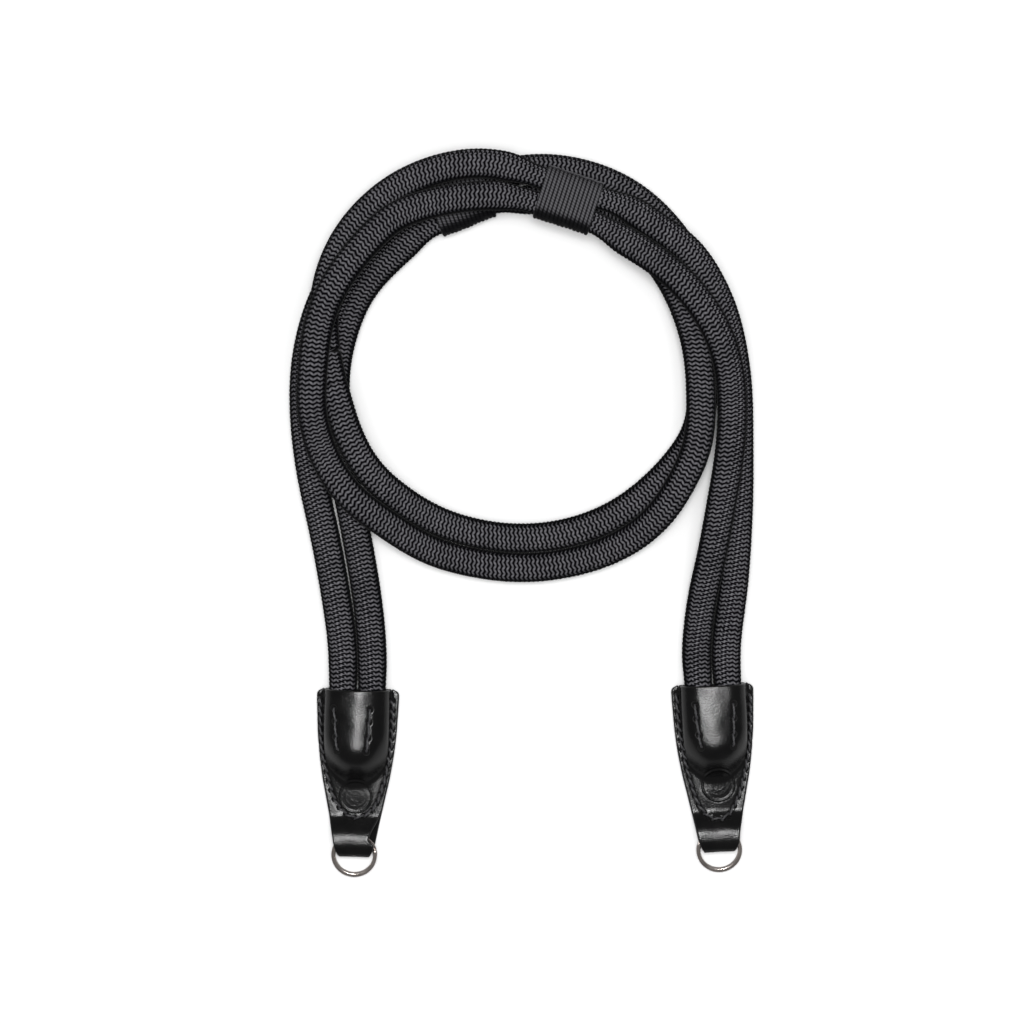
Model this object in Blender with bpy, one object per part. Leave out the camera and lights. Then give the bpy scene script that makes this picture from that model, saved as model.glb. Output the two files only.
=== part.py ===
"""Rope camera strap: two braided ropes side by side, laid in a loop and a half on a flat surface.

Two woven keepers hold the pair together. At each end both ropes sit in the pocket of a folded leather
tab, and a split ring runs through the tab's fold. Units are metres, +Z is up and the strap lies on z = 0
with its tabs pointing along -Y.
"""

import math

import bmesh
import bpy
import numpy as np
from mathutils import Vector

MM = 0.001

# Fits
CLEARANCE = 0.0003
LEATHER = 0.0015

# Ropes
ROPE_DIAMETER = 0.010
ROPE_POINTS = 78
ROPE_END_PLAY = 0.0005

# Keepers: woven bands that squeeze both ropes
KEEPER_LENGTH = 0.0205
KEEPER_WALL = 0.0010
KEEPER_SQUEEZE = 0.83
SQUEEZE_EASE = 0.012
SQUEEZE_PAST_KEEPER = 0.003

# Tabs: a strip folded round the ring, its two leaves stitched together, moulded over the rope ends
TAB_LENGTH = 0.0596
TAB_WIDTH = 0.0294
POCKET_DEPTH = 0.0210
BULGE_FADE_LENGTH = 0.0075
BULGE_FOOT = 0.0005
NECK_RISE_LENGTH = 0.0060
FOLD_CORNER = 0.0008
TUNNEL_WEDGE = 0.0028
TAB_RIM = 0.0008
BULGE_NARROWING = 0.2

# Split rings: two flat turns of wire with one jog between them
RING_DIAMETER = 0.0163
RING_WIRE_WIDTH = 0.0014
RING_WIRE_HEIGHT = 0.0010
RING_TURN_GAP = 0.0001
RING_WIRE_CHAMFER = 0.00025
RING_JOG = 40.0
RING_SET = 0.0008
NECK_PLAY = 0.00045

# Where each tab's mouth is, and how far the tab is turned about +Z from pointing along -Y
TABS = {
    # name: (x mm, y mm, turn in degrees, where the ring's jog is in degrees from +X)
    "left": (-58.75, -62.40, -1.35, 35.0),
    "right": (68.00, -60.70, 2.45, 145.0),
}

# The middle of each keeper: x mm, y mm, height in rope diameters
KEEPERS = {
    "upper_keeper": (16.1, 111.6, 1.585),
    "lower_keeper": (-22.3, 112.1, 0.56),
}

# Routes between the tabs, chosen by hand: x mm, y mm, height of the centre in rope diameters
INNER_ROUTE = (
    (-53.7, -48.6, 0.56), (-54.5, -37.2, 0.50), (-57.0, -19.4, 0.50), (-59.6, -5.1, 0.50),
    (-63.1, 12.8, 0.50), (-66.3, 34.2, 0.50), (-66.5, 52.8, 0.50), (-63.2, 67.7, 0.50),
    (-56.9, 81.0, 0.50), (-45.5, 93.5, 0.51), (-31.5, 103.9, 0.56), (-21.9, 107.6, 0.56),
    (-12.4, 111.4, 0.56), (-2.2, 112.6, 0.52), (8.1, 113.0, 0.50), (25.6, 109.9, 0.50),
    (38.7, 101.3, 0.53), (49.1, 89.8, 0.86), (56.9, 75.4, 1.28), (61.9, 57.9, 1.50),
    (63.1, 42.7, 1.54), (61.6, 24.7, 1.52), (56.3, 12.0, 1.37), (47.9, -0.4, 1.03),
    (35.5, -10.0, 0.66), (19.5, -16.0, 0.51), (1.0, -18.4, 0.50), (-17.5, -16.6, 0.53),
    (-33.8, -11.6, 0.74), (-48.0, -3.0, 1.18), (-61.7, 8.2, 1.56), (-70.9, 23.6, 1.58),
    (-74.0, 38.9, 2.10), (-73.3, 52.5, 2.43), (-70.8, 68.5, 2.55), (-64.6, 82.5, 2.55),
    (-55.4, 95.1, 2.33), (-45.0, 104.9, 2.02), (-31.9, 110.2, 1.77), (-17.1, 112.7, 1.70),
    (-5.1, 112.7, 1.62), (5.0, 110.5, 1.58), (14.7, 107.5, 1.58), (24.4, 104.1, 1.59),
    (34.8, 98.0, 1.70), (43.9, 92.2, 1.87), (55.7, 82.4, 2.20), (64.9, 71.0, 2.24),
    (71.1, 58.0, 2.01), (74.1, 40.9, 1.54), (73.4, 23.3, 1.51), (70.7, 5.6, 1.38),
    (67.1, -14.6, 1.14), (64.4, -28.2, 0.77), (62.8, -40.8, 0.54), (62.3, -49.7, 0.56),
)
OUTER_ROUTE = (
    (-64.0, -48.6, 0.56), (-65.2, -37.2, 0.50), (-68.1, -19.4, 0.50), (-70.9, -5.1, 0.50),
    (-74.8, 12.8, 0.50), (-77.6, 34.2, 0.50), (-77.5, 51.4, 0.50), (-74.9, 66.3, 0.50),
    (-69.2, 81.3, 0.50), (-61.5, 92.8, 0.50), (-51.4, 103.4, 0.52), (-42.9, 108.3, 0.54),
    (-34.6, 111.9, 0.56), (-25.1, 115.6, 0.56), (-15.5, 119.4, 0.56), (1.0, 123.6, 0.50),
    (19.5, 122.5, 0.50), (39.3, 114.2, 0.50), (50.9, 103.9, 0.50), (58.1, 93.8, 0.50),
    (62.8, 81.3, 0.50), (65.1, 66.3, 0.50), (65.3, 51.4, 0.50), (64.2, 39.9, 0.50),
    (61.9, 29.9, 0.50), (56.8, 21.2, 0.50), (48.1, 11.5, 0.50), (35.7, 1.8, 0.50),
    (19.7, -5.2, 0.50), (1.0, -8.0, 0.50), (-16.2, -6.3, 0.53), (-31.6, -1.2, 0.63),
    (-43.4, 6.0, 0.89), (-54.6, 16.5, 1.28), (-62.1, 30.5, 1.52), (-66.1, 43.5, 1.55),
    (-69.2, 56.9, 1.49), (-70.2, 71.0, 1.50), (-68.2, 84.4, 1.53), (-62.0, 98.5, 1.50),
    (-53.9, 108.5, 1.47), (-44.1, 116.2, 1.46), (-30.5, 122.2, 1.52), (-15.0, 124.5, 1.56),
    (-2.6, 122.7, 1.58), (7.9, 119.0, 1.58), (17.5, 115.7, 1.58), (27.2, 112.4, 1.58),
    (36.3, 109.2, 1.55), (45.8, 103.3, 1.55), (58.2, 94.0, 1.55), (65.8, 83.6, 1.49),
    (71.1, 72.2, 1.31), (74.5, 60.0, 1.00), (76.8, 44.9, 0.60), (77.3, 27.1, 0.50),
    (77.3, 11.0, 0.50), (76.6, -8.7, 0.50), (75.0, -27.9, 0.50), (73.3, -40.8, 0.53),
    (72.7, -49.7, 0.56),
)

# The tab seen from above: share of its length from the mouth, share from the neck's width to the full one
TAB_OUTLINE = (
    (0.000, 0.89), (0.020, 0.98), (0.060, 1.00), (0.270, 0.93), (0.390, 0.845), (0.535, 0.68),
    (0.660, 0.495), (0.770, 0.335), (0.870, 0.195), (0.945, 0.105), (0.966, 0.055), (0.978, 0.00),
    (0.990, -0.035), (1.000, -0.085),
)
# The moulded bulge past the pocket's end: share of the fade's length, share of the full height
BULGE_FADE = ((0.00, 1.00), (0.20, 0.93), (0.45, 0.62), (0.75, 0.20), (1.00, 0.00))
# The upper leaf's climb over the ring: share of the climb's length, share of the climb
NECK_RISE = ((0.00, 0.00), (0.25, 0.10), (0.50, 0.50), (0.75, 0.90), (1.00, 1.00))

# Sizes that follow from the ones above
rope_radius = ROPE_DIAMETER / 2
rope_pitch = ROPE_DIAMETER + CLEARANCE
rope_height = LEATHER + CLEARANCE + rope_radius
rope_depth = POCKET_DEPTH - ROPE_END_PLAY
flange_thickness = 2 * LEATHER
bulge_radius = rope_radius + CLEARANCE + LEATHER
ring_radius = RING_DIAMETER / 2
ring_bore_radius = ring_radius - RING_WIRE_WIDTH
ring_height = 2 * RING_WIRE_HEIGHT + RING_TURN_GAP
neck_half_width = ring_bore_radius - NECK_PLAY
# Measured along the tab from its mouth
tunnel_end = TAB_LENGTH - LEATHER
ring_place = tunnel_end + RING_SET
tunnel_start = ring_place - ring_radius - 2 * CLEARANCE
# The ring rests on the surface at its far edge and clears the lower leaf where it leaves the fold
ring_tilt = math.asin((LEATHER + CLEARANCE) / (ring_radius + RING_SET + FOLD_CORNER))
ring_centre_height = ring_radius * math.sin(ring_tilt) + ring_height / 2 * math.cos(ring_tilt)
tunnel_top = ring_centre_height * 2 + CLEARANCE
neck_thickness = tunnel_top + LEATHER


def material(name, color, roughness, metallic=0.0):
    """A Principled material with a plain colour."""
    made = bpy.data.materials.new(name)
    made.use_nodes = True
    shader = made.node_tree.nodes["Principled BSDF"]
    shader.inputs["Base Color"].default_value = (*color, 1.0)
    shader.inputs["Roughness"].default_value = roughness
    shader.inputs["Metallic"].default_value = metallic
    return made


def placed(name, data, finish=None, parent=None):
    """An object in the scene that holds this mesh or curve."""
    obj = bpy.data.objects.new(name, data)
    bpy.context.scene.collection.objects.link(obj)
    obj.parent = parent
    if finish is not None:
        obj.data.materials.append(finish)
    return obj


def mesh_of(name, bm, sharp_degrees=35.0):
    """The bmesh as a mesh shaded smooth, with its faces turned outwards."""
    bmesh.ops.recalc_face_normals(bm, faces=bm.faces)
    mesh = bpy.data.meshes.new(name)
    bm.to_mesh(mesh)
    bm.free()
    mesh.shade_smooth()
    mesh.set_sharp_from_angle(angle=math.radians(sharp_degrees))
    return mesh


def lofted(sections, ring_of_sections=False):
    """A closed bmesh skin over sections, each a closed outline of as many points as the first."""
    bm = bmesh.new()
    rows = [[bm.verts.new(point) for point in section] for section in sections]
    pairs = list(zip(rows, rows[1:] + rows[:1] if ring_of_sections else rows[1:]))
    for near, far in pairs:
        for k in range(len(near)):
            after = (k + 1) % len(near)
            bm.faces.new((near[k], near[after], far[after], far[k]))
    if not ring_of_sections:
        bm.faces.new(rows[0])
        bm.faces.new(rows[-1])
    return bm


def cut(obj, cutter):
    """Takes the cutter's shape out of the object."""
    cutter.hide_render = True
    cutter.display_type = "WIRE"
    boolean = obj.modifiers.new("Cut " + cutter.name, "BOOLEAN")
    boolean.operation = "DIFFERENCE"
    boolean.object = cutter
    boolean.solver = "EXACT"


# Ropes


def pocket_point(tab, side, along):
    """A point on a rope's centre line inside a tab, this far from the mouth, on side +1 or -1 of its middle."""
    x, y, turn, _ = TABS[tab]
    turn = math.radians(turn)
    across = side * rope_pitch / 2
    return (
        x * MM + across * math.cos(turn) + along * math.sin(turn),
        y * MM + across * math.sin(turn) - along * math.cos(turn),
        rope_height,
    )


def route_points(route, side):
    """The route's own points, with the straight runs inside both pockets."""
    start = [pocket_point("left", side, share * rope_depth) for share in (1.0, 0.5, 0.0)]
    end = [pocket_point("right", -side, share * rope_depth) for share in (0.0, 0.5, 1.0)]
    middle = [(x * MM, y * MM, lift * ROPE_DIAMETER) for x, y, lift in route]
    return np.array(start + middle + end)


def smooth_curve(points, count=4000):
    """A natural cubic spline through the points, read off at this many places, and their distances along it."""
    knots = np.concatenate([[0.0], np.cumsum(np.linalg.norm(np.diff(points, axis=0), axis=1))])
    span = np.diff(knots)
    size = len(knots)
    matrix = np.eye(size)
    known = np.zeros_like(points)
    slope = np.diff(points, axis=0) / span[:, None]
    for i in range(1, size - 1):
        matrix[i, i - 1 : i + 2] = (span[i - 1], 2 * (span[i - 1] + span[i]), span[i])
        known[i] = 6 * (slope[i] - slope[i - 1])
    bend = np.linalg.solve(matrix, known)
    at = np.linspace(0.0, knots[-1], count)
    i = np.clip(np.searchsorted(knots, at, side="right") - 1, 0, size - 2)
    after = (at - knots[i])[:, None]
    before = (knots[i + 1] - at)[:, None]
    width = span[i][:, None]
    curve = (bend[i] * before**3 + bend[i + 1] * after**3) / (6 * width)
    curve += (points[i] / width - bend[i] * width / 6) * before
    curve += (points[i + 1] / width - bend[i + 1] * width / 6) * after
    curve[:, 2] = np.maximum(curve[:, 2], rope_radius)
    return curve, np.concatenate([[0.0], np.cumsum(np.linalg.norm(np.diff(curve, axis=0), axis=1))])


def keeper_middle(name):
    x, y, lift = KEEPERS[name]
    return np.array((x * MM, y * MM, lift * ROPE_DIAMETER))


def nearest(curve, distance, point):
    """How far along the curve the place nearest to this point lies."""
    return distance[np.argmin(np.linalg.norm(curve - point, axis=1))]


def squeeze(curve, distance, at):
    """The rope's radius at these distances, as a share of its free radius: smaller inside each keeper."""
    share = np.ones(len(at))
    for name in KEEPERS:
        squeezed = KEEPER_LENGTH / 2 + SQUEEZE_PAST_KEEPER
        past = np.abs(at - nearest(curve, distance, keeper_middle(name))) - squeezed
        step = np.clip(past / SQUEEZE_EASE, 0.0, 1.0)
        eased = step * step * (3 - 2 * step)
        share = np.minimum(share, KEEPER_SQUEEZE + (1 - KEEPER_SQUEEZE) * eased)
    return share


def rope_stations(curve, distance):
    """Distances for the tube's points, closer together where the rope bends and in the keepers."""
    heading = np.gradient(curve, distance, axis=0)
    bend = np.linalg.norm(np.gradient(heading, distance, axis=0), axis=1)
    straight_bend = 4.0
    held = (1 - squeeze(curve, distance, distance)) / (1 - KEEPER_SQUEEZE)
    weight = np.cumsum(np.sqrt(bend + straight_bend) * (1 + held))
    return np.interp(np.linspace(weight[0], weight[-1], ROPE_POINTS), weight, distance)


def make_rope(name, curve, distance, finish):
    """One rope as a tube along its curve."""
    at = rope_stations(curve, distance)
    share = squeeze(curve, distance, at)
    data = bpy.data.curves.new(name, "CURVE")
    data.dimensions = "3D"
    data.bevel_depth = rope_radius
    data.bevel_resolution = 4
    data.use_fill_caps = True
    spline = data.splines.new("POLY")
    spline.points.add(ROPE_POINTS - 1)
    for k, point in enumerate(spline.points):
        place = [np.interp(at[k], distance, curve[:, axis]) for axis in range(3)]
        point.co = (*place, 1.0)
        point.radius = share[k]
    return placed(name, data, finish)


# Keepers


def stadium(first, second, normal, radius, arc_sides=12):
    """Points round two side-by-side circles of this radius, joined by straight runs."""
    across = (second - first).normalized()
    points = []
    for centre, start in ((second, -math.pi / 2), (first, math.pi / 2)):
        for k in range(arc_sides + 1):
            angle = start + math.pi * k / arc_sides
            points.append(centre + radius * (math.cos(angle) * across + math.sin(angle) * normal))
    return points


def make_keeper(name, ropes, finish, section_count=7):
    """A band round both ropes: its inside follows them with a clearance, and its wall is even."""
    middle = keeper_middle(name)
    inner, outer = [], []
    for share in np.linspace(-0.5, 0.5, section_count):
        centres, headings = [], []
        for curve, distance in ropes:
            at = nearest(curve, distance, middle) + share * KEEPER_LENGTH
            here = Vector([np.interp(at, distance, curve[:, axis]) for axis in range(3)])
            ahead = Vector([np.interp(at + MM, distance, curve[:, axis]) for axis in range(3)])
            centres.append(here - Vector(middle))
            headings.append(ahead - here)
        across = (centres[1] - centres[0]).normalized()
        normal = (headings[0] + headings[1]).cross(across).normalized()
        bore = rope_radius * KEEPER_SQUEEZE + CLEARANCE
        inner.append(stadium(*centres, normal, bore))
        outer.append(stadium(*centres, normal, bore + KEEPER_WALL))
    bm = lofted(outer + inner[::-1], ring_of_sections=True)
    keeper = placed(name, mesh_of(name, bm), finish)
    keeper.location = middle


# Tabs


def table_value(table, at):
    """The second column of a table, read between its rows."""
    return float(np.interp(at, [row[0] for row in table], [row[1] for row in table]))


def tab_stations():
    """Distances from the mouth at which the tab has a section."""
    fold_radius = LEATHER + FOLD_CORNER
    found = [share * TAB_LENGTH for share, _ in TAB_OUTLINE]
    found += [POCKET_DEPTH + share * BULGE_FADE_LENGTH for share, _ in BULGE_FADE]
    found += [tunnel_start - (1 - share) * NECK_RISE_LENGTH for share, _ in NECK_RISE]
    found += [TAB_LENGTH - fold_radius * (1 - math.sin(math.radians(angle))) for angle in (0, 30, 50, 70)]
    found.sort()
    least_step = 0.0002
    return [at for k, at in enumerate(found) if k == 0 or at - found[k - 1] > least_step]


def tab_section(at):
    """The tab's outline across its length, this far from the mouth, as points at (across, along, up)."""
    half = neck_half_width + (TAB_WIDTH / 2 - neck_half_width) * table_value(TAB_OUTLINE, at / TAB_LENGTH)
    fade = table_value(BULGE_FADE, (at - POCKET_DEPTH) / BULGE_FADE_LENGTH)
    rise = table_value(NECK_RISE, 1 + (at - tunnel_start) / NECK_RISE_LENGTH)
    top = flange_thickness + (neck_thickness - flange_thickness) * rise
    fold_radius = LEATHER + FOLD_CORNER
    into_fold = min(max(at - (TAB_LENGTH - fold_radius), 0.0), fold_radius)
    inset = fold_radius - math.sqrt(fold_radius**2 - into_fold**2)
    top -= inset
    foot = rope_pitch / 2 + bulge_radius + BULGE_FOOT
    narrow = min(1 - BULGE_NARROWING * (1 - fade), (half - TAB_RIM) / foot)
    right = [(half, inset), (half, top), (foot * narrow, top)]
    for angle in range(0, 91, 15):
        across = rope_pitch / 2 + bulge_radius * math.cos(math.radians(angle))
        height = rope_height + bulge_radius * math.sin(math.radians(angle))
        right.append((across * narrow, top + (height - top) * fade))
    whole = right + [(-across, up) for across, up in reversed(right)]
    return [(across, -at, up) for across, up in whole]


def pocket_cutter(name, parent):
    """The space for both rope ends, from outside the mouth to the pocket's depth."""
    radius = rope_radius + CLEARANCE
    outside = 0.002
    centres = [Vector((side * rope_pitch / 2, 0.0, rope_height)) for side in (-1, 1)]
    section = stadium(*centres, Vector((0, 0, 1)), radius)
    ends = [[point + Vector((0, -along, 0)) for point in section] for along in (-outside, POCKET_DEPTH)]
    return placed(name, mesh_of(name, lofted(ends)), parent=parent)


def tunnel_cutter(name, parent):
    """The space for the ring inside the fold, right across the tab: a wedge that opens into a slot."""
    side_view = [(tunnel_start - TUNNEL_WEDGE, LEATHER)]
    corners = ((LEATHER + FOLD_CORNER, (-90, -60, -30, 0)), (tunnel_top - FOLD_CORNER, (0, 30, 60, 90)))
    for height, angles in corners:
        for angle in angles:
            out, up = math.cos(math.radians(angle)), math.sin(math.radians(angle))
            side_view.append((tunnel_end - FOLD_CORNER * (1 - out), height + FOLD_CORNER * up))
    side_view.append((tunnel_start, tunnel_top))
    ends = [[(across, -along, up) for along, up in side_view] for across in (-TAB_WIDTH / 2, TAB_WIDTH / 2)]
    return placed(name, mesh_of(name, lofted(ends)), parent=parent)


def make_tab(side, place, finish):
    """A folded leather tab under its mouth's empty."""
    name = side + "_tab"
    sections = [tab_section(at) for at in tab_stations()]
    tab = placed(name, mesh_of(name, lofted(sections)), finish, parent=place)
    cut(tab, pocket_cutter(side + "_pocket_cutter", place))
    cut(tab, tunnel_cutter(side + "_tunnel_cutter", place))


# Split rings


def make_ring(side, place, jog_at, finish, turn_sides=48):
    """Two turns of flat wire round the ring's own axis, joined by a jog where the wire changes level."""
    name = side + "_split_ring"
    level = (RING_WIRE_HEIGHT + RING_TURN_GAP) / 2
    middle = ring_radius - RING_WIRE_WIDTH / 2
    half_wide, half_high = RING_WIRE_WIDTH / 2, RING_WIRE_HEIGHT / 2
    chamfer = RING_WIRE_CHAMFER
    wire = []
    for out, up in ((1, 1), (-1, 1), (-1, -1), (1, -1)):
        first = (out * (half_wide - chamfer), up * half_high)
        second = (out * half_wide, up * (half_high - chamfer))
        wire += [second, first] if out == up else [first, second]
    jog = RING_JOG / 360
    angles = np.linspace(jog / 2, 2 - jog / 2, round(turn_sides * (2 - jog)) + 1)
    sections = []
    for turns in angles:
        step = min(max((turns - (1 - jog / 2)) / jog, 0.0), 1.0)
        height = level * (2 * step * step * (3 - 2 * step) - 1)
        angle = math.radians(jog_at) + 2 * math.pi * turns
        sections.append(
            [
                ((middle + out) * math.cos(angle), (middle + out) * math.sin(angle), height + up)
                for out, up in wire
            ]
        )
    ring = placed(name, mesh_of(name, lofted(sections)), finish, parent=place)
    ring.location = (0.0, -ring_place, ring_centre_height)
    ring.rotation_euler = (ring_tilt, 0.0, 0.0)


def main():
    for obj in list(bpy.data.objects):
        bpy.data.objects.remove(obj, do_unlink=True)
    ropes = []
    for name, route, side in (("inner_rope", INNER_ROUTE, 1), ("outer_rope", OUTER_ROUTE, -1)):
        curve, distance = smooth_curve(route_points(route, side))
        make_rope(name, curve, distance, material(name, (0.020, 0.021, 0.024), 0.75))
        ropes.append((curve, distance))
    for name in KEEPERS:
        make_keeper(name, ropes, material(name, (0.014, 0.014, 0.016), 0.65))
    for side, (x, y, turn, jog_at) in TABS.items():
        place = placed(side + "_tab_mouth", None)
        place.location = (x * MM, y * MM, 0.0)
        place.rotation_euler = (0.0, 0.0, math.radians(turn))
        make_tab(side, place, material(side + "_tab", (0.022, 0.021, 0.022), 0.38))
        make_ring(side, place, jog_at, material(side + "_split_ring", (0.62, 0.61, 0.59), 0.22, 1.0))


main()
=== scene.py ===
"""Looks of the rope camera strap: braided ropes, woven keepers, stitched leather tabs and split rings."""

import math

import bpy
import numpy as np
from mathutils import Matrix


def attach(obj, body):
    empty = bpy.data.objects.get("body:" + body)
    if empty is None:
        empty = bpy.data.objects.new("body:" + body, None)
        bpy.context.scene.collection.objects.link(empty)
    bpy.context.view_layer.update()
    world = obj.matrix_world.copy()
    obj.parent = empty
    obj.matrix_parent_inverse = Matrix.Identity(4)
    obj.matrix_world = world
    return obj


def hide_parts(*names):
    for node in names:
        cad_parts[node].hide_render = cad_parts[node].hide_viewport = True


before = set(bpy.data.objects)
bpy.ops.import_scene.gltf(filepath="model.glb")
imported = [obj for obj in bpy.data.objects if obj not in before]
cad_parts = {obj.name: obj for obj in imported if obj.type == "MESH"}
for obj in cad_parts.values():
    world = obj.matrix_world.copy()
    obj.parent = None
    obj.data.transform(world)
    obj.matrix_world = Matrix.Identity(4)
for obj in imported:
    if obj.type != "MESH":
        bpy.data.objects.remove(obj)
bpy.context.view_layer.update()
scene = bpy.context.scene
chance = np.random.default_rng(7)

MM = 0.001

# Sizes, in metres, as in the solids
ROPE_RADIUS = 0.005
ROPE_CLEARANCE = 0.0003
LEATHER = 0.0015
ROPE_PITCH = 2 * ROPE_RADIUS + ROPE_CLEARANCE
ROPE_IN_TAB_HEIGHT = LEATHER + ROPE_CLEARANCE + ROPE_RADIUS
ROPE_DEPTH = 0.0205
KEEPER_LENGTH = 0.0205
KEEPER_WALL = 0.0010
KEEPER_SQUEEZE = 0.83
SQUEEZE_EASE = 0.012
SQUEEZE_PAST_KEEPER = 0.003

# The braid swells past the solid's radius in the open, and less where ropes touch
FREE_RADIUS = 0.00535
TOUCHING_GAP = 0.00002
POCKET_EASE = 0.010
ROPE_END_TAPER = 0.006
ROPE_END_NARROWING = 0.75
# Places of one rope this far apart along it belong to different turns
TURN_APART = 0.04
# Neighbours are looked for from this many places, at every fourth place of the other rope
NEIGHBOUR_PLACES = 400
NEIGHBOUR_STRIDE = 4
# A neighbour cuts the skin off only where the skin faces it by more than this
LEAST_FACING = 0.5
CURVE_PLACES = 4000
# Directions along a rope are taken over this distance
HEADING_STEP = 0.001

# Each tab's mouth: x, y, and its turn about +Z in degrees
TABS = {"left": (-0.05875, -0.06240, -1.35), "right": (0.06800, -0.06070, 2.45)}
# Each keeper's middle
KEEPERS = {"upper_keeper": (0.0161, 0.1116, 0.01585), "lower_keeper": (-0.0223, 0.1121, 0.0056)}

# Points of both ropes' centre lines between the tabs, in mm
INNER_ROUTE = (
    (-53.7, -48.6, 5.6), (-54.5, -37.2, 5), (-57, -19.4, 5), (-59.6, -5.1, 5), (-63.1, 12.8, 5),
    (-66.3, 34.2, 5), (-66.5, 52.8, 5), (-63.2, 67.7, 5), (-56.9, 81, 5), (-45.5, 93.5, 5.1),
    (-31.5, 103.9, 5.6), (-21.9, 107.6, 5.6), (-12.4, 111.4, 5.6), (-2.2, 112.6, 5.2), (8.1, 113, 5),
    (25.6, 109.9, 5), (38.7, 101.3, 5.3), (49.1, 89.8, 8.6), (56.9, 75.4, 12.8), (61.9, 57.9, 15),
    (63.1, 42.7, 15.4), (61.6, 24.7, 15.2), (56.3, 12, 13.7), (47.9, -0.4, 10.3), (35.5, -10, 6.6),
    (19.5, -16, 5.1), (1, -18.4, 5), (-17.5, -16.6, 5.3), (-33.8, -11.6, 7.4), (-48, -3, 11.8),
    (-61.7, 8.2, 15.6), (-70.9, 23.6, 15.8), (-74, 38.9, 21), (-73.3, 52.5, 24.3), (-70.8, 68.5, 25.5),
    (-64.6, 82.5, 25.5), (-55.4, 95.1, 23.3), (-45, 104.9, 20.2), (-31.9, 110.2, 17.7), (-17.1, 112.7, 17),
    (-5.1, 112.7, 16.2), (5, 110.5, 15.8), (14.7, 107.5, 15.8), (24.4, 104.1, 15.9), (34.8, 98, 17),
    (43.9, 92.2, 18.7), (55.7, 82.4, 22), (64.9, 71, 22.4), (71.1, 58, 20.1), (74.1, 40.9, 15.4),
    (73.4, 23.3, 15.1), (70.7, 5.6, 13.8), (67.1, -14.6, 11.4), (64.4, -28.2, 7.7), (62.8, -40.8, 5.4),
    (62.3, -49.7, 5.6),
)
OUTER_ROUTE = (
    (-64, -48.6, 5.6), (-65.2, -37.2, 5), (-68.1, -19.4, 5), (-70.9, -5.1, 5), (-74.8, 12.8, 5),
    (-77.6, 34.2, 5), (-77.5, 51.4, 5), (-74.9, 66.3, 5), (-69.2, 81.3, 5), (-61.5, 92.8, 5),
    (-51.4, 103.4, 5.2), (-42.9, 108.3, 5.4), (-34.6, 111.9, 5.6), (-25.1, 115.6, 5.6), (-15.5, 119.4, 5.6),
    (1, 123.6, 5), (19.5, 122.5, 5), (39.3, 114.2, 5), (50.9, 103.9, 5), (58.1, 93.8, 5), (62.8, 81.3, 5),
    (65.1, 66.3, 5), (65.3, 51.4, 5), (64.2, 39.9, 5), (61.9, 29.9, 5), (56.8, 21.2, 5), (48.1, 11.5, 5),
    (35.7, 1.8, 5), (19.7, -5.2, 5), (1, -8, 5), (-16.2, -6.3, 5.3), (-31.6, -1.2, 6.3), (-43.4, 6, 8.9),
    (-54.6, 16.5, 12.8), (-62.1, 30.5, 15.2), (-66.1, 43.5, 15.5), (-69.2, 56.9, 14.9), (-70.2, 71, 15),
    (-68.2, 84.4, 15.3), (-62, 98.5, 15), (-53.9, 108.5, 14.7), (-44.1, 116.2, 14.6), (-30.5, 122.2, 15.2),
    (-15, 124.5, 15.6), (-2.6, 122.7, 15.8), (7.9, 119, 15.8), (17.5, 115.7, 15.8), (27.2, 112.4, 15.8),
    (36.3, 109.2, 15.5), (45.8, 103.3, 15.5), (58.2, 94, 15.5), (65.8, 83.6, 14.9), (71.1, 72.2, 13.1),
    (74.5, 60, 10), (76.8, 44.9, 6), (77.3, 27.1, 5), (77.3, 11, 5), (76.6, -8.7, 5), (75, -27.9, 5),
    (73.3, -40.8, 5.3), (72.7, -49.7, 5.6),
)


# Camera: straight above the strap, as the photograph is taken

CAMERA_PLACE = (-0.00365, 0.00135, 1.0)
CAMERA_LENS = 97.94
CAMERA_SENSOR = 36.0
CAMERA_SIGHT = (0.01, 20.0)


def linked(name, data):
    """A new object in the scene that holds this data."""
    made = bpy.data.objects.new(name, data)
    scene.collection.objects.link(made)
    return made


camera = linked("camera", bpy.data.cameras.new("camera"))
camera.data.lens = CAMERA_LENS
camera.data.sensor_width = CAMERA_SENSOR
camera.data.clip_start, camera.data.clip_end = CAMERA_SIGHT
camera.location = CAMERA_PLACE
scene.camera = camera


# Lines and directions


def unit(vectors):
    """The same directions, each of length 1."""
    return vectors / np.linalg.norm(vectors, axis=-1, keepdims=True)


def run_lengths(points):
    """How far along a line of points each of them lies."""
    return np.concatenate([[0.0], np.cumsum(np.linalg.norm(np.diff(points, axis=0), axis=1))])


def read_off(points, run, at):
    """Places at these distances along a line of points, whose own distances are given."""
    return np.stack([np.interp(at, run, points[:, axis]) for axis in range(points.shape[1])], axis=-1)


def evenly(points, count):
    """This many places, evenly spaced along a line of points."""
    run = run_lengths(points)
    return read_off(points, run, np.linspace(0.0, run[-1], count))


def smooth_step(value, low, high):
    """0 up to low, 1 from high on, and a smooth step between."""
    step = np.clip((value - low) / (high - low), 0.0, 1.0)
    return step * step * (3 - 2 * step)


def ridge(distance, width):
    """1 on a line, fading to 0 a few widths away."""
    return np.exp(-((distance / width) ** 2))


def tab_to_world(side, local):
    """Places in a tab's own frame, (across, distance from the mouth, up), as places in the scene."""
    x, y, turn = TABS[side]
    turn = math.radians(turn)
    across, along, up = local[..., 0], local[..., 1], local[..., 2]
    to_right = x + across * math.cos(turn) + along * math.sin(turn)
    return np.stack([to_right, y + across * math.sin(turn) - along * math.cos(turn), up], axis=-1)


# Routes of the ropes


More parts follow.
